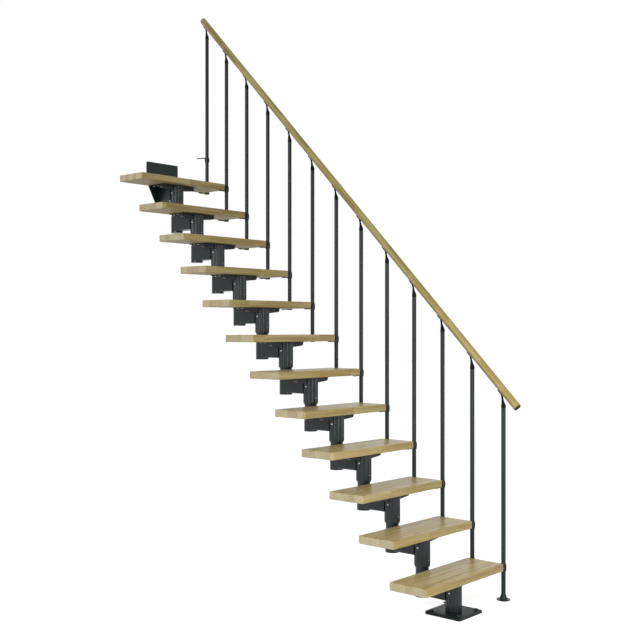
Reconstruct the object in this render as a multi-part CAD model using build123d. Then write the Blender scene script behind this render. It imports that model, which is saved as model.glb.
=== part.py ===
from build123d import *
import os
from math import atan2, cos, degrees, hypot, pi, sin

# A straight mono stringer staircase of twelve steps. Each step is one module of the stringer: a
# fluted column under the front of the tread, and a bracket whose arm reaches back to the socket
# that the next column stands in.
# Z is up, Y is the direction of climbing, X is the climber's right, where the railing stands.
# The origin is the centre of the base plate's underside, on the axis of the first column.

# Flight
step_count = 12
rise = 200.0

# Treads
tread_width = 700.0
tread_depth = 222.0
tread_overlap = 28.0
tread_thickness = 40.0
tread_corner_radius = 8.0
tread_edge_radius = 3.0
nosing_to_column = 80.0

# Fluted columns
column_radius = 42.0
flute_count = 16
flute_depth = 2.2
flute_land = 3.0
column_foot_chamfer_height = 12.0
column_foot_chamfer_depth = 6.0
column_above_tread = 3.0
spigot_radius = 34.5
spigot_end_chamfer = 2.0

# Tread brackets
carrier_half_width = 134.0
carrier_front = 30.0
carrier_back = 120.0
carrier_thickness = 5.0
carrier_corner_radius = 14.0
arm_half_width = 36.0
arm_height = 95.0
arm_front = 29.0
arm_edge_bevel = 5.0
wing_half_thickness = 14.0
wing_root_height = 33.0
wing_tip_height = 24.0
wing_tip_radius = 14.0
socket_wall = 2.6
socket_drop = 12.0
fit_clearance = 0.3

# Base plate
base_plate_side = 210.0
base_plate_thickness = 15.0
base_plate_corner_radius = 10.0
base_plate_bevel = 2.0
base_bolt_spacing = 160.0
anchor_hole_radius = 6.0

# Floor fixing plate at the top of the flight
fixing_gap = 1.5
fixing_half_width = 129.0
fixing_foot_half_width = 51.0
fixing_thickness = 8.0
fixing_above_tread = 118.0
fixing_shoulder_below_tread = 10.0
fixing_foot_below_tread = 158.0
fixing_corner_radius = 6.0
fixing_bolt_spacing_across = 124.0
fixing_bolt_upper_above_tread = 34.0
fixing_bolt_spacing_up = 115.0

# Balusters
baluster_radius = 12.0
baluster_beyond_tread = 32.5
baluster_from_nosing = 21.4
baluster_head_below_rail = 94.0
foot_disc_radius = 36.0
foot_disc_thickness = 5.0
foot_cone_radius = 20.7
foot_height = 28.0
foot_cup_depth = 18.0

# Baluster clamps
clamp_collar_radius = 16.5
clamp_collar_end_radius = 14.6
clamp_collar_height = 40.0
clamp_below_tread = 7.0
clamp_floor = 2.0
tongue_length = 74.0
tongue_thickness = 5.0
tongue_root_half_width = 11.0
tongue_tip_half_width = 8.0
landing_clamp_angle = 60.0
landing_collar_height = 27.0
landing_seat_relief = 0.6

# Handrail
rail_radius = 21.0
rail_above_tread = 909.0
rail_past_first_baluster = 121.0
rail_past_last_baluster = 66.0
rail_head_radius = 12.0
rail_foot_chamfer = 1.5
rail_cap_radius = 20.0
rail_cap_thickness = 3.0
rail_cap_edge_radius = 1.0

# Rail supports
support_groove_radius = 11.2
support_groove_height = 1.5
support_sleeve_radius = 12.5
support_sleeve_height = 17.0
support_waist_height = 45.0
support_waist_offset = 5.5
support_waist_half_width = 6.3
support_waist_half_length = 6.0
support_head_below_rail = 16.0
support_head_offset = 11.5
support_head_half_width = 7.5
support_head_half_length = 7.0
saddle_length = 47.0
saddle_width = 20.0
saddle_thickness = 4.0
saddle_offset = 1.5

# Places that follow from the sizes above
going = tread_depth - tread_overlap
baluster_above_tread = rail_above_tread - baluster_head_below_rail
socket_inner_radius = spigot_radius + fit_clearance
socket_outer_radius = socket_inner_radius + socket_wall
socket_height = arm_height + socket_drop
fixing_plate_y = (step_count - 1) * going - nosing_to_column + tread_depth + fixing_gap
baluster_x = tread_width / 2 + baluster_beyond_tread
pitch_angle = degrees(atan2(rise, going))
pitch_length = hypot(rise, going)
standing = (Align.CENTER, Align.CENTER, Align.MIN)
hanging = (Align.CENTER, Align.CENTER, Align.MAX)


def column_y(step):
    """Axis of a step's column; steps are counted from 1 at the floor."""
    return (step - 1) * going


def tread_top(step):
    return step * rise


def tread_bottom(step):
    return tread_top(step) - tread_thickness


def nosing_y(step):
    return column_y(step) - nosing_to_column


def baluster_y(number):
    """Balusters are counted from 1; the one after the last step stands at the upper floor."""
    return nosing_y(number) + baluster_from_nosing


def slab(width, depth, thickness, x, y, z):
    """Block centred on x, between y and y + depth, with its underside at z."""
    return Pos(x, y + depth / 2, z) * Box(width, depth, thickness, align=standing)


# Treads

def tread(step):
    body = slab(tread_width, tread_depth, tread_thickness, 0, nosing_y(step), tread_bottom(step))
    body = fillet(body.edges().filter_by(Axis.Z), tread_corner_radius)
    rims = body.edges().group_by(Axis.Z)[0] + body.edges().group_by(Axis.Z)[-1]
    return fillet(rims, tread_edge_radius)


# Fluted columns

def flute_outline():
    """Closed outline of the column: shallow hollow flutes between narrow round lands."""
    turn = 2 * pi / flute_count
    half_land = flute_land / column_radius / 2
    edges = []
    for flute in range(flute_count):
        start = flute * turn + half_land
        end = (flute + 1) * turn - half_land
        middle = (start + end) / 2
        after = end + half_land
        next_start = end + 2 * half_land
        deepest = polar(column_radius - flute_depth, middle)
        rim = polar(column_radius, end)
        edges.append(ThreePointArc(polar(column_radius, start), deepest, rim))
        edges.append(ThreePointArc(rim, polar(column_radius, after), polar(column_radius, next_start)))
    return edges


def polar(radius, angle):
    return (radius * cos(angle), radius * sin(angle))


def fluted_shaft(height):
    return extrude(make_face(flute_outline()), height)


def column(step):
    head = tread_bottom(step) - carrier_thickness
    if step == 1:
        shaft = fluted_shaft(head - base_plate_thickness)
        return Pos(0, column_y(step), base_plate_thickness) * shaft
    foot = tread_top(step - 1) + column_above_tread
    shaft = fluted_shaft(head - foot)
    narrow = column_radius - column_foot_chamfer_depth
    cone = Cone(narrow, column_radius, column_foot_chamfer_height, align=standing)
    upper = Cylinder(column_radius, head - foot - column_foot_chamfer_height,
                     align=standing)
    shaft = shaft & (cone + Pos(0, 0, column_foot_chamfer_height) * upper)
    spigot_end = tread_bottom(step - 1) - socket_height
    spigot = Cylinder(spigot_radius, foot - spigot_end, align=hanging)
    spigot = chamfer(spigot.edges().group_by(Axis.Z)[0], spigot_end_chamfer)
    return Pos(0, column_y(step), foot) * (shaft + spigot)


# Tread brackets

def carrier_plate():
    """Flat plate that the tread is screwed to, with its top at zero."""
    plate = slab(2 * carrier_half_width, carrier_front + carrier_back, carrier_thickness, 0, -carrier_front,
                 -carrier_thickness)
    return fillet(plate.edges().filter_by(Axis.Z), carrier_corner_radius)


def wing():
    """Cross arm under the carrier plate, deep at the column and shallow at its boat-shaped tip."""
    root = column_radius + fit_clearance
    outline = make_face(Polyline((root, 0), (carrier_half_width, 0), (carrier_half_width, -wing_tip_height),
                                 (root, -wing_root_height), close=True))
    low_tip = outline.vertices().filter_by(lambda corner: corner.X > root and corner.Y < 0)
    return extrude(Plane.XZ * fillet(low_tip, wing_tip_radius), wing_half_thickness, both=True)


def arm(reach):
    """Box arm coped round the column; it reaches back to the socket or to the fixing plate."""
    beam = slab(2 * arm_half_width, reach - arm_front, arm_height, 0, arm_front, -arm_height)
    beam = chamfer(beam.edges().filter_by(Axis.Y).group_by(Axis.Z)[0], arm_edge_bevel)
    return beam - Cylinder(column_radius + fit_clearance, 3 * arm_height)


def socket():
    """Sleeve and the bore through it for the next column's spigot, on the bracket's own axes."""
    centre = Pos(0, going, -socket_height)
    sleeve = Cylinder(socket_outer_radius, socket_height, align=standing)
    bore = Cylinder(socket_inner_radius, 3 * socket_height)
    return centre * sleeve, centre * bore


def bracket(step):
    cross = wing()
    head = carrier_plate() + cross + mirror(cross, Plane.YZ)
    if step == step_count:
        body = head + arm(fixing_plate_y - column_y(step))
    else:
        sleeve, bore = socket()
        body = head + arm(going) + sleeve - bore
    return Pos(0, column_y(step), tread_bottom(step)) * body


# Base plate and floor fixing plate

def base_plate():
    plate = Box(base_plate_side, base_plate_side, base_plate_thickness, align=standing)
    plate = fillet(plate.edges().filter_by(Axis.Z), base_plate_corner_radius)
    plate = chamfer(plate.edges().group_by(Axis.Z)[-1], base_plate_bevel)
    holes = GridLocations(base_bolt_spacing, base_bolt_spacing, 2, 2)
    return plate - holes * Cylinder(anchor_hole_radius, 4 * base_plate_thickness)


def fixing_plate():
    """Upright plate bolted to the edge of the upper floor, tapered below its shoulders."""
    level = tread_top(step_count)
    top = level + fixing_above_tread
    shoulder = level - fixing_shoulder_below_tread
    foot = level - fixing_foot_below_tread
    outline = Polyline((-fixing_half_width, top), (fixing_half_width, top), (fixing_half_width, shoulder),
                       (fixing_foot_half_width, foot), (-fixing_foot_half_width, foot),
                       (-fixing_half_width, shoulder), close=True)
    plate = extrude(Plane.XZ * make_face(outline), -fixing_thickness)
    plate = fillet(plate.edges().filter_by(Axis.Y), fixing_corner_radius)
    middle = level + fixing_bolt_upper_above_tread - fixing_bolt_spacing_up / 2
    pattern = GridLocations(fixing_bolt_spacing_across, fixing_bolt_spacing_up, 2, 2)
    drill = Cylinder(anchor_hole_radius, 4 * fixing_thickness)
    plate = plate - Pos(0, 0, middle) * (Plane.XZ * pattern) * drill
    return Pos(0, fixing_plate_y, 0) * plate


# Balusters with their foot and clamps

def baluster_end(number):
    """Height of a baluster's lower end: in the foot, or in the clamp of the tread below."""
    if number == 1:
        return foot_height - foot_cup_depth
    return tread_bottom(number - 1) - clamp_below_tread + clamp_floor


def baluster(number):
    end = baluster_end(number)
    height = tread_top(number) + baluster_above_tread - end
    return Pos(baluster_x, baluster_y(number), end) * Cylinder(baluster_radius, height,
                                                               align=standing)


def baluster_foot():
    cup_radius = baluster_radius + fit_clearance
    outline = Polyline((0, 0), (foot_disc_radius, 0), (foot_disc_radius, foot_disc_thickness),
                       (foot_cone_radius, foot_disc_thickness), (cup_radius + clamp_floor, foot_height),
                       (cup_radius, foot_height), (cup_radius, foot_height - foot_cup_depth),
                       (0, foot_height - foot_cup_depth), close=True)
    body = revolve(Plane.XZ * make_face(outline), Axis.Z)
    return Pos(baluster_x, baluster_y(1), 0) * body


def collar(height, end_radius, bore_from):
    """Barrel-shaped collar around a baluster, with its underside at zero."""
    side = ThreePointArc((end_radius, 0), (clamp_collar_radius, height / 2), (end_radius, height))
    outline = side + Polyline((end_radius, height), (0, height), (0, 0), (end_radius, 0))
    barrel = revolve(Plane.XZ * make_face(outline), Axis.Z)
    bore = Pos(0, 0, bore_from) * Cylinder(baluster_radius + fit_clearance, 2 * height,
                                           align=standing)
    return barrel, bore


def tongue():
    """Flat tongue that points along -X from the collar's axis, with its underside at zero."""
    straight = tongue_length - tongue_tip_half_width
    edge = Line((0, tongue_root_half_width), (-straight, tongue_tip_half_width))
    far = (-straight, -tongue_tip_half_width)
    tip = ThreePointArc((-straight, tongue_tip_half_width), (-tongue_length, 0), far)
    back = Line(far, (0, -tongue_root_half_width))
    close = Line((0, -tongue_root_half_width), (0, tongue_root_half_width))
    return extrude(make_face([edge, tip, back, close]), tongue_thickness)


def clamp(end_closed):
    """Clamp under a tread; zero is the tread's underside, and x zero the baluster's axis."""
    bore_from = clamp_floor if end_closed else -clamp_floor
    barrel, bore = collar(clamp_collar_height, clamp_collar_end_radius, bore_from)
    lift = Pos(0, 0, -clamp_below_tread)
    return lift * barrel + Pos(0, 0, -tongue_thickness) * tongue() - lift * bore


def front_clamp(step):
    return Pos(baluster_x, baluster_y(step), tread_bottom(step)) * clamp(False)


def rear_clamp(step):
    return Pos(baluster_x, baluster_y(step + 1), tread_bottom(step)) * clamp(True)


def landing_clamp():
    """Clamp of the last baluster, with its tongue lying on the upper floor."""
    floor_level = tread_top(step_count + 1)
    barrel, bore = collar(landing_collar_height + tongue_thickness, clamp_collar_end_radius, -clamp_floor)
    lift = Pos(0, 0, -landing_collar_height)
    relief = Cylinder(clamp_collar_radius + 1, 2 * landing_seat_relief)
    plate = Rot(0, 0, -landing_clamp_angle) * tongue() - relief
    body = plate + lift * barrel - lift * bore
    return Pos(baluster_x, baluster_y(step_count + 1), floor_level) * body


# Handrail and its supports

def rail_frame(distance):
    """Frame on the handrail's axis, a distance along it from the first baluster, with Z uphill."""
    start = Pos(baluster_x, baluster_y(1), tread_top(1) + rail_above_tread)
    return start * Rot(pitch_angle - 90, 0, 0) * Pos(0, 0, distance)


def handrail():
    length = rail_past_first_baluster + step_count * pitch_length + rail_past_last_baluster
    rod = Cylinder(rail_radius, length, align=standing)
    rod = fillet(rod.edges().group_by(Axis.Z)[-1], rail_head_radius)
    rod = chamfer(rod.edges().group_by(Axis.Z)[0], rail_foot_chamfer)
    return rail_frame(-rail_past_first_baluster) * rod


def rail_cap():
    cap = Cylinder(rail_cap_radius, rail_cap_thickness, align=hanging)
    cap = fillet(cap.edges().group_by(Axis.Z)[0], rail_cap_edge_radius)
    return rail_frame(-rail_past_first_baluster) * cap


def saddle():
    """Leaf under the handrail, hollowed to its round; zero is on the rail's axis above the baluster."""
    inner = rail_radius + fit_clearance
    outer = inner + saddle_thickness
    shell = Cylinder(outer, 4 * saddle_length) - Cylinder(inner, 4 * saddle_length)
    leaf = Pos(0, saddle_offset) * SlotOverall(saddle_length, saddle_width, rotation=90)
    return shell & extrude(Plane.XZ * leaf, -2 * outer)


def rail_neck():
    """Neck above the plug: round at its shoulder, slim at its waist, and wider again under the handrail."""
    shoulder = Pos(0, 0, support_sleeve_height) * Circle(support_sleeve_radius)
    waist = Ellipse(support_waist_half_width, support_waist_half_length)
    head = Ellipse(support_head_half_width, support_head_half_length)
    head_height = baluster_head_below_rail - support_head_below_rail
    return loft([shoulder, Pos(0, support_waist_offset, support_waist_height) * waist,
                 Pos(0, support_head_offset, head_height) * head])


def rail_support(number):
    """Plug on the baluster's head, a slim neck that leans uphill, and the leaf under the handrail."""
    above = Pos(baluster_x, baluster_y(number), tread_top(number) + baluster_above_tread)
    groove = Cylinder(support_groove_radius, support_sleeve_height, align=standing)
    sleeve = Cylinder(support_sleeve_radius, support_sleeve_height - support_groove_height, align=standing)
    plug = groove + Pos(0, 0, support_groove_height) * sleeve
    at_rail = rail_frame((number - 1) * pitch_length)
    rail_room = at_rail * Cylinder(rail_radius + fit_clearance, 4 * saddle_length)
    return above * plug + (above * rail_neck() - rail_room) + at_rail * saddle()


def export(shape, name):
    export_step(shape, f"parts/{name}.step")


os.makedirs("parts", exist_ok=True)

for step in range(1, step_count + 1):
    export(tread(step), f"tread_{step:02d}")
    export(column(step), f"column_{step:02d}")
    export(bracket(step), f"bracket_{step:02d}")

export(base_plate(), "base_plate")
export(fixing_plate(), "floor_fixing_plate")
export(baluster_foot(), "baluster_foot")
export(landing_clamp(), "landing_clamp")
export(handrail(), "handrail")
export(rail_cap(), "handrail_cap")

steps = range(1, step_count + 1)
balusters = range(1, step_count + 2)
export(Compound([baluster(number) for number in balusters]), "balusters")
export(Compound([front_clamp(step) for step in steps]), "front_clamps")
export(Compound([rear_clamp(step) for step in steps]), "rear_clamps")
export(Compound([rail_support(number) for number in balusters]), "rail_supports")
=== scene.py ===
from math import atan2, cos, hypot, pi, radians, sin

import bmesh
import bpy
from mathutils import Matrix, Vector


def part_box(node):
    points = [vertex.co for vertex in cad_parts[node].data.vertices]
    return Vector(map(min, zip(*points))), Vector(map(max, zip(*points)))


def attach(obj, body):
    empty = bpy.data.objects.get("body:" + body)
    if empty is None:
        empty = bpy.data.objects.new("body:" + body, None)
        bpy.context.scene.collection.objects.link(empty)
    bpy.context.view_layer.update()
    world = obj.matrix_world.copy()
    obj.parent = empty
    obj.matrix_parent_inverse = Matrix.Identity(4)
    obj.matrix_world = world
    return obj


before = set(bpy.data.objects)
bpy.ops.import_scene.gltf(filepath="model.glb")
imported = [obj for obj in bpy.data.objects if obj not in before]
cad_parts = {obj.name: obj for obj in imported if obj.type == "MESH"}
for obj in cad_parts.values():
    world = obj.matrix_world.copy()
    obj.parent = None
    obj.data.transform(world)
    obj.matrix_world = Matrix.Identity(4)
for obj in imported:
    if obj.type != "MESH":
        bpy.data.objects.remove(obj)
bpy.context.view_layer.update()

# Sizes of the flight, read from the frame, in metres
first_low, first_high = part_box("tread_01")
second_low, second_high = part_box("tread_02")
rise = second_high.z - first_high.z
going = second_low.y - first_low.y
tread_thickness = first_high.z - first_low.z
step_count = len([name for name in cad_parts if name.startswith("tread_")])
column_low, column_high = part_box("column_01")
column_radius = (column_high.x - column_low.x) / 2
plate_face_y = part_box("floor_fixing_plate")[0].y
base_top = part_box("base_plate")[1].z
foot_low, foot_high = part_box("baluster_foot")
baluster_x = (foot_low.x + foot_high.x) / 2
first_baluster_y = (foot_low.y + foot_high.y) / 2
pitch = atan2(rise, going)
pitch_length = hypot(rise, going)

# Sizes that the CAD part has and the frame's boxes don't give
carrier_thickness = 0.005
tongue_thickness = 0.005
rail_axis_above_tread = 0.909
rail_radius = 0.021
saddle_gap = 0.0003
saddle_thickness = 0.004

# Fasteners: radii, places and how deep their seats lie
column_bolt_radius = 0.0052
column_bolt_below_tread = 0.052
front_bolt_radius = 0.0040
front_bolt_above_tread = 0.042
bolt_seat_in_column = 0.0012
tread_screw_radius = 0.0045
tread_screw_x = 0.105
tread_screw_rows = (0.026, 0.063, 0.100)
anchor_bolt_radius = 0.0085
anchor_spacing = 0.160
fixing_bolt_across = 0.124
fixing_bolt_up = 0.115
fixing_bolt_top = 2.434
stub_radius = 0.0045
stub_reach = 0.018
stub_height = 0.045
stub_seat_in_column = 0.0015
stub_thread_pitch = 0.0018
saddle_screw_radius = 0.0040
saddle_screw_uphill = 0.0165
saddle_screw_seat = 0.0006
tongue_screw_radius = 0.0038
tongue_screw_x = 0.326
sides_around = 24
smooth_angle = radians(35)

# Oak: strips and staves, growth rings, and how far each noise is drawn out along the grain
strip_width = 0.037
stave_length = 0.46
rail_strip_width = 0.30
rail_stave_length = 0.30
rail_number = 40.0
stave_shift_seed = 3.0
tone_spread = 37.0
ring_spacing = 0.0034
ring_wave_height = 0.022
heart_across_span = (-0.09, 0.09)
heart_up_span = (-0.16, -0.05)
wave_stretch = (1.8, 9.0, 9.0)
figure_stretch = (2.6, 34.0, 34.0)
streak_stretch = (1.4, 46.0, 46.0)
fibre_stretch = (9.0, 260.0, 260.0)
pore_stretch = (34.0, 1050.0, 1050.0)
joint_uphill = 0.025
oak_relief = 0.00018

# Oak: the largest share of each layer of colour, its sheen and its roughness
streak_share = 0.62
late_wood_share = 0.34
fibre_share = 0.42
pore_share = 0.50
warm_share = 0.35
# Share of the end grain colour, whose paleness is painted light
end_grain_and_light_share = 0.75
rail_brown_share = 0.40
rail_joint_share = 0.50
oak_specular = 0.28
oak_specular_below = 0.19
oak_roughness = (0.27, 0.38)
rougher_below = 0.17
rougher_pores = 0.12

# Steel, plastic and fasteners: scales and depths of their textures, radius of the rounded edges
# that carry a painted highlight
peel_scale = 620.0
peel_depth = 0.000015
cloud_scale = 9.0
speck_scale = 2600.0
highlit_edge_radius = 0.0022
plastic_grain_scale = 1500.0
plastic_cloud_scale = 60.0
plastic_grain_depth = 0.00005
blotch_scale = 240.0
turning_mark_scale = 1800.0
turning_mark_depth = 0.00003

# Colours, linear
oak_light = (0.520, 0.437, 0.212)
oak_middle = (0.36, 0.268, 0.096)
oak_dark = (0.20, 0.13, 0.04)
oak_warm = (0.41, 0.275, 0.105)
# End grain colours, paler than the faces: the paleness is painted light
oak_end_painted_light = (0.50, 0.455, 0.30)
oak_end_warm_painted_light = (0.375, 0.30, 0.19)
rail_brown = (0.40, 0.26, 0.11)
rail_joint = (0.47, 0.31, 0.15)
# Multiply that darkens the handrail's oak: painted shade
rail_shade_tint = (0.78, 0.83, 0.67)
steel_colour = (0.0085, 0.0135, 0.0155)
railing_colour = (0.0180, 0.0235, 0.0250)
# Paler colour for the powder coat's specks and for the painted highlight on its edges
steel_speck_and_highlight_colour = (0.034, 0.042, 0.046)
support_colour = (0.003, 0.003, 0.004)
# Darker copy of the steel colour for the base plate: painted shade
base_shade_colour = (0.0030, 0.0060, 0.0070)
plastic_colour = (0.006, 0.006, 0.007)
zinc_colour = (0.66, 0.67, 0.66)
dull_zinc_share = 0.45
black_oxide_colour = (0.028, 0.028, 0.030)
white = (1.0, 1.0, 1.0, 1.0)

# Studio: what is seen of the floor and world, and the lamps' places, aims, sizes and powers
floor_half = 30.0
floor_tones = ((0.46, 0.46, 0.46), (0.50, 0.50, 0.50))
floor_glow = 0.78
world_seen = 1.0
world_light = 0.42
lamps = (
    ("key", (-6.4, 0.9, 3.2), (0, 0.8, 1.0), 3.5, 232),
    ("front_fill", (-1.0, -2.1, 0.8), (0, 0, 0.25), 1.0, 24),
    ("low_top", (-0.9, -1.3, 1.9), (0, 0, 0.2), 1.0, 20),
)

# Camera
camera_place = Vector((-4.1953, -2.8043, 1.4382))
camera_turn = (radians(90), 0, radians(-48.56))
camera_lens = 55.757
camera_sensor = 36.0
camera_shift_y = 0.01279
camera_clip_end = 200.0


class Graph:
    """A material's node tree, with short ways to add nodes and join them."""

    def __init__(self, name):
        self.material = bpy.data.materials.new(name)
        self.material.use_nodes = True
        self.tree = self.material.node_tree
        self.tree.nodes.clear()
        self.shader = self.add("ShaderNodeBsdfPrincipled")
        output = self.add("ShaderNodeOutputMaterial")
        self.join(self.shader.outputs["BSDF"], output.inputs["Surface"])

    def add(self, kind, **settings):
        node = self.tree.nodes.new(kind)
        for key, value in settings.items():
            setattr(node, key, value)
        return node

    def join(self, source, target):
        self.tree.links.new(source, target)

    def put(self, target, value):
        """Joins a socket to the target, or gives the target a plain value."""
        if isinstance(value, bpy.types.NodeSocket):
            self.join(value, target)
        else:
            target.default_value = value

    def math(self, operation, first, second=0.0):
        node = self.add("ShaderNodeMath", operation=operation)
        for socket, value in zip(node.inputs, (first, second)):
            self.put(socket, value)
        return node.outputs[0]

    def combine(self, x, y, z):
        node = self.add("ShaderNodeCombineXYZ")
        for socket, value in zip(node.inputs, (x, y, z)):
            self.put(socket, value)
        return node.outputs[0]

    def split(self, vector):
        node = self.add("ShaderNodeSeparateXYZ")
        self.join(vector, node.inputs[0])
        return node.outputs

    def place(self):
        return self.add("ShaderNodeTexCoord").outputs["Object"]

    def normal(self):
        return self.add("ShaderNodeNewGeometry").outputs["Normal"]

    def noise(self, vector, scale, detail, roughness, stretch=(1.0, 1.0, 1.0)):
        scaled = self.add("ShaderNodeVectorMath", operation="MULTIPLY")
        self.put(scaled.inputs[0], vector)
        scaled.inputs[1].default_value = stretch
        node = self.add("ShaderNodeTexNoise")
        self.join(scaled.outputs[0], node.inputs["Vector"])
        node.inputs["Scale"].default_value = scale
        node.inputs["Detail"].default_value = detail
        node.inputs["Roughness"].default_value = roughness
        return node.outputs["Fac"]

    def random(self, vector):
        node = self.add("ShaderNodeTexWhiteNoise", noise_dimensions="3D")
        self.put(node.inputs["Vector"], vector)
        return node.outputs["Value"]

    def limits(self, value, span, target=(0.0, 1.0)):
        """Maps a span of the value to a target span and holds it there beyond the ends."""
        node = self.add("ShaderNodeMapRange")
        for socket, entry in zip(node.inputs, (value, *span, *target)):
            self.put(socket, entry)
        return node.outputs[0]

    def mix(self, factor, first, second, blend="MIX"):
        node = self.add("ShaderNodeMix", data_type="RGBA", blend_type=blend)
        self.put(node.inputs["Factor"], factor)
        for socket, value in ((node.inputs[6], first), (node.inputs[7], second)):
            is_socket = isinstance(value, bpy.types.NodeSocket)
            self.put(socket, value if is_socket else (*value, 1.0))
        return node.outputs[2]

    def bump(self, height, distance):
        node = self.add("ShaderNodeBump")
        self.join(height, node.inputs["Height"])
        node.inputs["Distance"].default_value = distance
        node.inputs["Strength"].default_value = 1.0
        self.join(node.outputs["Normal"], self.shader.inputs["Normal"])
        return node

    def set(self, **values):
        """Sets inputs of the shader by name, with _ for each space."""
        for key, value in values.items():
            self.put(self.shader.inputs[key.replace("_", " ")], value)


def scaled_colour(colour, share):
    return [share * part for part in colour]


def tread_axes(graph):
    """Along, across and up on each tread's own board, and the tread's number."""
    x, y, z = graph.split(graph.place())
    number = graph.add("ShaderNodeObjectInfo").outputs["Object Index"]
    across = graph.math("SUBTRACT", y, graph.math("MULTIPLY", number, going))
    up = graph.math("SUBTRACT", z, graph.math("MULTIPLY", number, rise))
    return x, across, up, number


def rail_axes(graph):
    """Along, across and up on the handrail's sloping axis, and a number that no tread has."""
    place = graph.add("ShaderNodeMapping", vector_type="TEXTURE")
    graph.join(graph.place(), place.inputs["Vector"])
    axis_z = rise + rail_axis_above_tread
    place.inputs["Location"].default_value = (baluster_x, first_baluster_y, axis_z)
    place.inputs["Rotation"].default_value = (pitch, 0.0, 0.0)
    x, y, z = graph.split(place.outputs[0])
    return y, x, z, rail_number


def growth_rings(graph, own, across, up, strip, tone, second_tone):
    """Sawtooth of rings around a heart beside each strip, bent by a slow wave along the grain."""
    wave = graph.noise(own, 1.0, 3.0, 0.5, wave_stretch)
    heart_across = graph.limits(tone, (0.0, 1.0), heart_across_span)
    heart_up = graph.limits(second_tone, (0.0, 1.0), heart_up_span)
    in_strip = graph.math("SUBTRACT", across, graph.math("MULTIPLY", strip, strip_width))
    from_heart = graph.combine(
        graph.math("SUBTRACT", in_strip, heart_across), graph.math("SUBTRACT", up, heart_up), 0.0)
    length = graph.add("ShaderNodeVectorMath", operation="LENGTH")
    graph.join(from_heart, length.inputs[0])
    lift = graph.math("MULTIPLY", wave, ring_wave_height)
    bent = graph.math("ADD", length.outputs["Value"], lift)
    return graph.math("FRACT", graph.math("DIVIDE", bent, ring_spacing))


def rail_shades(graph, colour, along, tone):
    """Browner staves, a warm patch at the joint a little uphill of each support, and a multiply
    that darkens the whole handrail as painted shade.
    """
    brown = graph.limits(tone, (0.55, 0.95), (0.0, rail_brown_share))
    colour = graph.mix(brown, colour, rail_brown)
    turns = graph.math("DIVIDE", graph.math("SUBTRACT", along, joint_uphill), pitch_length)
    from_joint = graph.math(
        "SUBTRACT", graph.math("FRACT", graph.math("ADD", turns, 0.5)), 0.5)
    distance = graph.math("ABSOLUTE", from_joint)
    patch = graph.limits(distance, (0.06, 0.12), (rail_joint_share, 0.0))
    colour = graph.mix(patch, colour, rail_joint)
    # Painted shade: the whole handrail's colour is darkened by a multiply
    return graph.mix(1.0, colour, rail_shade_tint, "MULTIPLY")


def oak(name, along_rail=False):
    """Solid oak glued up from strips, with staves that differ, growth rings, fibres and pores."""
    graph = Graph(name)
    along, across, up, number = rail_axes(graph) if along_rail else tread_axes(graph)
    strip_size = rail_strip_width if along_rail else strip_width
    stave_size = rail_stave_length if along_rail else stave_length

    # Strips across the piece, and staves along each strip, each with two tones of its own
    strip = graph.math("FLOOR", graph.math("DIVIDE", across, strip_size))
    shift = graph.random(graph.combine(strip, number, stave_shift_seed))
    lengths = graph.math("ADD", graph.math("DIVIDE", along, stave_size), shift)
    stave = graph.math("FLOOR", lengths)
    tone = graph.random(graph.combine(strip, stave, number))
    second_tone = graph.random(graph.combine(stave, number, strip))
    seed = graph.math("MULTIPLY", tone, tone_spread)
    own = graph.combine(graph.math("ADD", along, seed), graph.math("ADD", across, seed), up)

    # Rings, pores, fine fibres, broad figure and dark streaks
    ring = growth_rings(graph, own, across, up, strip, tone, second_tone)
    late_wood = graph.math("POWER", ring, 3.0)
    pores = graph.limits(graph.noise(own, 1.0, 2.0, 0.6, pore_stretch), (0.60, 0.74))
    pores = graph.math("MULTIPLY", pores, graph.limits(ring, (0.2, 0.9), (1.0, 0.35)))
    fibres = graph.noise(own, 1.0, 4.0, 0.65, fibre_stretch)
    figure = graph.noise(own, 1.0, 3.0, 0.55, figure_stretch)
    figure = graph.limits(figure, (0.36, 0.64), (0.0, 0.85))
    streaks = graph.noise(own, 1.0, 2.0, 0.5, streak_stretch)

    depth = graph.math("ADD", graph.math("MULTIPLY", tone, 0.55), figure)
    colour = graph.mix(graph.limits(depth, (0.22, 1.12)), oak_light, oak_middle)
    dark_shares = (
        graph.limits(streaks, (0.53, 0.68), (0.0, streak_share)),
        graph.math("MULTIPLY", late_wood, late_wood_share),
        graph.limits(fibres, (0.45, 0.78), (0.0, fibre_share)),
        graph.math("MULTIPLY", pores, pore_share),
    )
    for share in dark_shares:
        colour = graph.mix(share, colour, oak_dark)
    warmth = graph.limits(second_tone, (0.62, 1.0), (0.0, warm_share))
    colour = graph.mix(warmth, colour, oak_warm)
    if along_rail:
        colour = rail_shades(graph, colour, along, tone)

    # End grain colour on the treads' ends, painted paler than the faces: the grain is real, the
    # paleness is painted light. Thinner lacquer on every underside
    direction = graph.split(graph.normal())
    sideways = graph.math("ABSOLUTE", direction["X"])
    end_share = 0.0 if along_rail else end_grain_and_light_share
    # Painted light: faces that point along X get the paler end grain colour
    painted_light_end_grain = graph.limits(sideways, (0.80, 0.95), (0.0, end_share))
    end_tone = graph.limits(tone, (0.2, 0.8), (0.15, 0.75))
    colour = graph.mix(painted_light_end_grain, colour, graph.mix(end_tone, oak_end_painted_light, oak_end_warm_painted_light))
    below = graph.limits(direction["Z"], (-0.95, -0.80), (1.0, 0.0))
    gloss = graph.limits(below, (0.0, 1.0), (oak_specular, oak_specular_below))
    rough = graph.limits(fibres, (0.25, 0.75), oak_roughness)
    rough = graph.math("ADD", rough, graph.math("MULTIPLY", below, rougher_below))
    rough = graph.math("ADD", rough, graph.math("MULTIPLY", pores, rougher_pores))
    graph.set(Base_Color=colour, Specular_IOR_Level=gloss, Roughness=rough)
    height = graph.math(
        "SUBTRACT", graph.math("MULTIPLY", fibres, 0.35), graph.math("MULTIPLY", pores, 0.8))
    graph.bump(height, oak_relief)
    return graph.material


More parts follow.
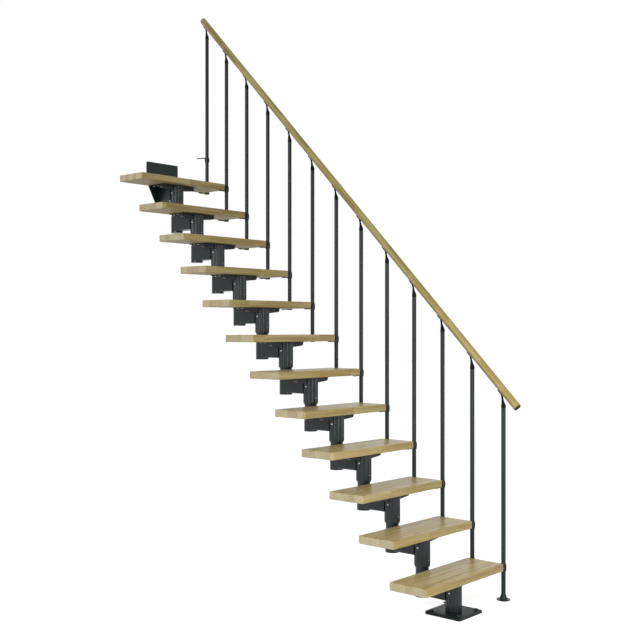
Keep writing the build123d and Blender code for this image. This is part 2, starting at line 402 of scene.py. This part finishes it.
def powder_coat(name, colour, speck_and_highlight_colour, roughness, highlit_edges=True, specular=0.33):
    """Satin powder coat: fine orange peel, faint clouds in tone and sheen, specks, and rounded
    edges painted paler as a painted highlight.
    """
    graph = Graph(name)
    place = graph.place()
    peel = graph.noise(place, peel_scale, 3.0, 0.55)
    cloud = graph.noise(place, cloud_scale, 3.0, 0.5)
    speck = graph.noise(place, speck_scale, 1.0, 0.5)
    tone = graph.mix(graph.limits(cloud, (0.3, 0.7)), colour, scaled_colour(colour, 1.22))
    tone = graph.mix(graph.limits(speck, (0.62, 0.75), (0.0, 0.35)), tone, speck_and_highlight_colour)
    bump = graph.bump(peel, peel_depth)
    # Painted highlight: edges are painted paler where the rounded normal turns away from the face's
    # normal
    if highlit_edges:
        round_edge = graph.add("ShaderNodeBevel", samples=4)
        round_edge.inputs["Radius"].default_value = highlit_edge_radius
        agree = graph.add("ShaderNodeVectorMath", operation="DOT_PRODUCT")
        graph.join(round_edge.outputs["Normal"], agree.inputs[0])
        graph.join(graph.normal(), agree.inputs[1])
        edge_highlight = graph.limits(agree.outputs["Value"], (0.99, 0.80), (0.0, 0.7))
        tone = graph.mix(edge_highlight, tone, speck_and_highlight_colour)
        graph.join(round_edge.outputs["Normal"], bump.inputs["Normal"])
    rough = graph.limits(cloud, (0.25, 0.75), (roughness - 0.03, roughness + 0.04))
    graph.set(Base_Color=tone, Specular_IOR_Level=specular, Roughness=rough)
    return graph.material


def moulded_plastic(name, colour):
    """Matt moulded plastic with a fine eroded texture."""
    graph = Graph(name)
    place = graph.place()
    grain = graph.noise(place, plastic_grain_scale, 3.0, 0.6)
    cloud = graph.noise(place, plastic_cloud_scale, 2.0, 0.5)
    tone = graph.mix(cloud, colour, scaled_colour(colour, 1.8))
    rough = graph.limits(grain, (0.3, 0.7), (0.50, 0.64))
    graph.set(Base_Color=tone, Specular_IOR_Level=0.10, Roughness=rough)
    graph.bump(grain, plastic_grain_depth)
    return graph.material


def bare_metal(name, colour, roughness, metallic=1.0):
    """Plated or blackened fastener steel with tiny turning marks and blotches."""
    graph = Graph(name)
    place = graph.place()
    blotch = graph.noise(place, blotch_scale, 4.0, 0.6)
    mark = graph.noise(place, turning_mark_scale, 2.0, 0.5)
    tone = graph.mix(blotch, scaled_colour(colour, 0.78), scaled_colour(colour, 1.1))
    rough = graph.limits(blotch, (0.3, 0.7), (roughness - 0.06, roughness + 0.10))
    graph.set(Base_Color=tone, Metallic=metallic, Roughness=rough)
    graph.bump(mark, turning_mark_depth)
    return graph.material


oak_tread = oak("oak_tread")
oak_rail = oak("oak_rail", along_rail=True)
stringer_coat = powder_coat(
    "stringer_powder_coat", steel_colour, steel_speck_and_highlight_colour, roughness=0.29)
# The base plate's coat is the stringer coat made darker and less glossy, as painted shade
shaded_base_coat = powder_coat(
    "base_powder_coat_painted_shade", base_shade_colour, steel_speck_and_highlight_colour, roughness=0.36, specular=0.16)
railing_coat = powder_coat(
    "railing_powder_coat", railing_colour, steel_speck_and_highlight_colour,
    roughness=0.29, highlit_edges=False, specular=0.16)
support_coat = powder_coat(
    "rail_support_coat", support_colour, steel_colour,
    roughness=0.40, highlit_edges=False, specular=0.08)
cap_plastic = moulded_plastic("cap_plastic", plastic_colour)
zinc = bare_metal("zinc_plate", zinc_colour, roughness=0.34)
dull_zinc_colour = scaled_colour(zinc_colour, dull_zinc_share)
dull_zinc = bare_metal("dull_zinc_plate", dull_zinc_colour, roughness=0.42)
black_oxide = bare_metal("black_oxide", black_oxide_colour, roughness=0.42, metallic=0.6)

# Finishes of the CAD nodes; a tread's number goes to its wood
own_finish = {
    "handrail": oak_rail,
    "handrail_cap": cap_plastic,
    "rail_supports": support_coat,
    "base_plate": shaded_base_coat,
}
for name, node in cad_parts.items():
    if name.startswith("tread_"):
        material = oak_tread
        node.pass_index = int(name[-2:])
    elif name.startswith(("column_", "bracket_", "floor_fixing_plate")):
        material = stringer_coat
    else:
        material = own_finish.get(name, railing_coat)
    for slot in node.material_slots:
        slot.material = material


def hexagon(radius):
    """Distance from the centre to a hexagon's side, by angle, for a given corner radius."""
    return lambda angle: radius * cos(pi / 6) / cos((angle % (pi / 3)) - pi / 6)


def ring_stack(target, rings, place):
    """Adds a turned or hexagonal form to a mesh, from rings of a radius at heights along Z."""
    loops = []
    for radius, height in rings:
        loop = []
        for side in range(sides_around):
            angle = 2 * pi * side / sides_around
            reach = radius(angle) if callable(radius) else radius
            corner = Vector((reach * cos(angle), reach * sin(angle), height))
            loop.append(target.verts.new(place @ corner))
        loops.append(loop)
    for lower, upper in zip(loops, loops[1:]):
        for side in range(sides_around):
            after = (side + 1) % sides_around
            target.faces.new((lower[side], lower[after], upper[after], upper[side]))
    target.faces.new(list(reversed(loops[0])))
    target.faces.new(loops[-1])


def button_head(radius):
    """Button head screw with a hexagon socket; its seat is at zero and it rises along Z."""
    height = 0.62 * radius
    socket = hexagon(0.46 * radius)
    return [
        (radius, 0.0),
        (radius, 0.16 * height),
        (0.93 * radius, 0.48 * height),
        (0.78 * radius, 0.80 * height),
        (0.60 * radius, height),
        (0.52 * radius, height),
        (socket, 0.94 * height),
        (socket, 0.35 * height),
    ]


def pan_head(radius):
    """Pan head wood screw with a small driver recess."""
    height = 0.55 * radius
    socket = hexagon(0.36 * radius)
    return [
        (radius, 0.0),
        (radius, 0.35 * height),
        (0.90 * radius, 0.75 * height),
        (0.66 * radius, height),
        (0.44 * radius, height),
        (socket, 0.92 * height),
        (socket, 0.40 * height),
    ]


def hexagon_bolt(radius):
    """Hexagon bolt head on a washer, with its chamfered top."""
    head = hexagon(1.155 * radius)
    return [
        (1.45 * radius, 0.0),
        (1.45 * radius, 0.16 * radius),
        (1.06 * radius, 0.17 * radius),
        (head, 0.20 * radius),
        (head, 0.78 * radius),
        (0.97 * radius, 0.88 * radius),
        (0.2 * radius, 0.90 * radius),
    ]


def threaded_stub(radius, length, thread_pitch):
    """End of a threaded rod with its washer and nut, along Z."""
    nut = hexagon(1.75 * radius)
    rings = [
        (1.9 * radius, 0.0),
        (1.9 * radius, 0.3 * radius),
        (nut, 0.32 * radius),
        (nut, 1.7 * radius),
        (radius, 1.72 * radius),
    ]
    height = 1.8 * radius
    while height < length - thread_pitch:
        rings.append((0.88 * radius, height))
        rings.append((radius, height + thread_pitch / 2))
        height += thread_pitch
    rings.append((0.80 * radius, length))
    return rings


def fasteners(name, rings, places, material):
    """Adds one piece that holds a fastener at each of the places."""
    mesh = bpy.data.meshes.new(name)
    shape = bmesh.new()
    for place in places:
        ring_stack(shape, rings, place)
    bmesh.ops.recalc_face_normals(shape, faces=shape.faces)
    for face in shape.faces:
        face.smooth = len(face.verts) == 4
    shape.to_mesh(mesh)
    shape.free()
    mesh.set_sharp_from_angle(angle=smooth_angle)
    mesh.materials.append(material)
    piece = bpy.data.objects.new(name, mesh)
    bpy.context.collection.objects.link(piece)
    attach(piece, "root")


def facing(x, y, z, direction):
    """Placement whose Z axis points along a direction."""
    turn = Vector(direction).to_track_quat("Z", "Y").to_matrix().to_4x4()
    return Matrix.Translation((x, y, z)) @ turn


# Bolts through the columns, at the side under each tread and at the front above the tread below;
# screws that hold each tread to its carrier plate; screws through the clamps' tongues
side_bolts = []
front_bolts = []
tread_screws = []
tongue_screws = []
for step in range(1, step_count + 1):
    axis_y = (step - 1) * going
    below_tread = step * rise - tread_thickness
    bolt_z = below_tread - column_bolt_below_tread
    side_bolts.append(facing(-column_radius + bolt_seat_in_column, axis_y, bolt_z, (-1, 0, 0)))
    if step > 1:
        front_y = axis_y - column_radius + bolt_seat_in_column
        front_z = (step - 1) * rise + front_bolt_above_tread
        front_bolts.append(facing(0, front_y, front_z, (0, -1, 0)))
    for side in (-1, 1):
        for row in tread_screw_rows:
            screw_z = below_tread - carrier_thickness
            place = facing(side * tread_screw_x, axis_y + row, screw_z, (0, 0, -1))
            tread_screws.append(place)
    for number in (step - 1, step):
        tongue_y = first_baluster_y + number * going
        tongue_z = below_tread - tongue_thickness
        tongue_screws.append(facing(tongue_screw_x, tongue_y, tongue_z, (0, 0, -1)))

# Anchor bolts in the base plate and in the floor fixing plate
base_bolts = []
floor_bolts = []
for side in (-1, 1):
    for end in (-1, 1):
        half = anchor_spacing / 2
        base_bolts.append(facing(side * half, end * half, base_top, (0, 0, 1)))
    for low in (0, 1):
        bolt_z = fixing_bolt_top - low * fixing_bolt_up
        place = facing(side * fixing_bolt_across / 2, plate_face_y, bolt_z, (0, -1, 0))
        floor_bolts.append(place)

# Threaded end of the bolt through the first column
stub = facing(0, column_radius - stub_seat_in_column, stub_height, (0, 1, 0))

# Screws through the saddles into the handrail
saddle_screws = []
uphill = Vector((0, cos(pitch), sin(pitch)))
under = Vector((0, sin(pitch), -cos(pitch)))
under_saddle = rail_radius + saddle_gap + saddle_thickness - saddle_screw_seat
for number in range(step_count + 1):
    axis_z = (number + 1) * rise + rail_axis_above_tread
    on_axis = Vector((baluster_x, first_baluster_y + number * going, axis_z))
    place = on_axis + uphill * saddle_screw_uphill + under * under_saddle
    saddle_screws.append(facing(*place, under))

fasteners("column_side_bolts", button_head(column_bolt_radius), side_bolts, zinc)
fasteners("column_front_bolts", button_head(front_bolt_radius), front_bolts, dull_zinc)
fasteners("tread_screws", pan_head(tread_screw_radius), tread_screws, zinc)
fasteners("base_anchor_bolts", hexagon_bolt(anchor_bolt_radius), base_bolts, black_oxide)
fasteners("floor_anchor_bolts", hexagon_bolt(anchor_bolt_radius), floor_bolts, black_oxide)
fasteners("base_through_bolt", threaded_stub(stub_radius, stub_reach, stub_thread_pitch), [stub],
          black_oxide)
fasteners("saddle_screws", pan_head(saddle_screw_radius), saddle_screws, black_oxide)
fasteners("tongue_screws", pan_head(tongue_screw_radius), tongue_screws, black_oxide)


def studio_floor():
    """Matt pale floor that keeps the shadow and looks white to the camera and in reflections."""
    graph = Graph("studio_floor")
    cloud = graph.noise(graph.place(), 0.8, 3.0, 0.5)
    graph.set(Base_Color=graph.mix(cloud, *floor_tones), Roughness=0.9)
    rays = graph.add("ShaderNodeLightPath").outputs
    seen = graph.math("MAXIMUM", rays["Is Camera Ray"], rays["Is Glossy Ray"])
    graph.set(Emission_Color=white, Emission_Strength=graph.math("MULTIPLY", seen, floor_glow))
    mesh = bpy.data.meshes.new("floor")
    corners = [(x * floor_half, y * floor_half, 0) for x, y in ((-1, -1), (1, -1), (1, 1), (-1, 1))]
    mesh.from_pydata(corners, [], [(0, 1, 2, 3)])
    mesh.materials.append(graph.material)
    floor = bpy.data.objects.new("floor", mesh)
    bpy.context.collection.objects.link(floor)


def area_light(name, place, aim, size, power):
    """Round soft lamp at a place, turned to its aim."""
    light = bpy.data.lights.new(name, "AREA")
    light.shape = "DISK"
    light.size = size
    light.energy = power
    lamp = bpy.data.objects.new(name, light)
    lamp.location = place
    direction = Vector(aim) - Vector(place)
    lamp.rotation_euler = direction.to_track_quat("-Z", "Y").to_euler()
    bpy.context.collection.objects.link(lamp)


def studio_world():
    """White to camera, glossy and transmission rays; a dimmer even light for every other ray."""
    world = bpy.data.worlds.new("studio")
    world.use_nodes = True
    tree = world.node_tree
    tree.nodes.clear()
    path = tree.nodes.new("ShaderNodeLightPath")
    shown = path.outputs["Is Camera Ray"]
    for kind in ("Is Glossy Ray", "Is Transmission Ray"):
        either = tree.nodes.new("ShaderNodeMath")
        either.operation = "MAXIMUM"
        tree.links.new(shown, either.inputs[0])
        tree.links.new(path.outputs[kind], either.inputs[1])
        shown = either.outputs[0]
    choose = tree.nodes.new("ShaderNodeMixShader")
    tree.links.new(shown, choose.inputs["Fac"])
    for socket, strength in ((choose.inputs[1], world_light), (choose.inputs[2], world_seen)):
        background = tree.nodes.new("ShaderNodeBackground")
        background.inputs["Color"].default_value = white
        background.inputs["Strength"].default_value = strength
        tree.links.new(background.outputs[0], socket)
    output = tree.nodes.new("ShaderNodeOutputWorld")
    tree.links.new(choose.outputs[0], output.inputs["Surface"])
    bpy.context.scene.world = world


studio_floor()
studio_world()
for lamp in lamps:
    area_light(*lamp)

camera_data = bpy.data.cameras.new("camera")
camera_data.lens = camera_lens
camera_data.sensor_width = camera_sensor
camera_data.shift_y = camera_shift_y
camera_data.clip_end = camera_clip_end
camera = bpy.data.objects.new("camera", camera_data)
camera.location = camera_place
camera.rotation_euler = camera_turn
bpy.context.collection.objects.link(camera)
scene = bpy.context.scene
scene.camera = camera
scene.view_settings.view_transform = "Standard"
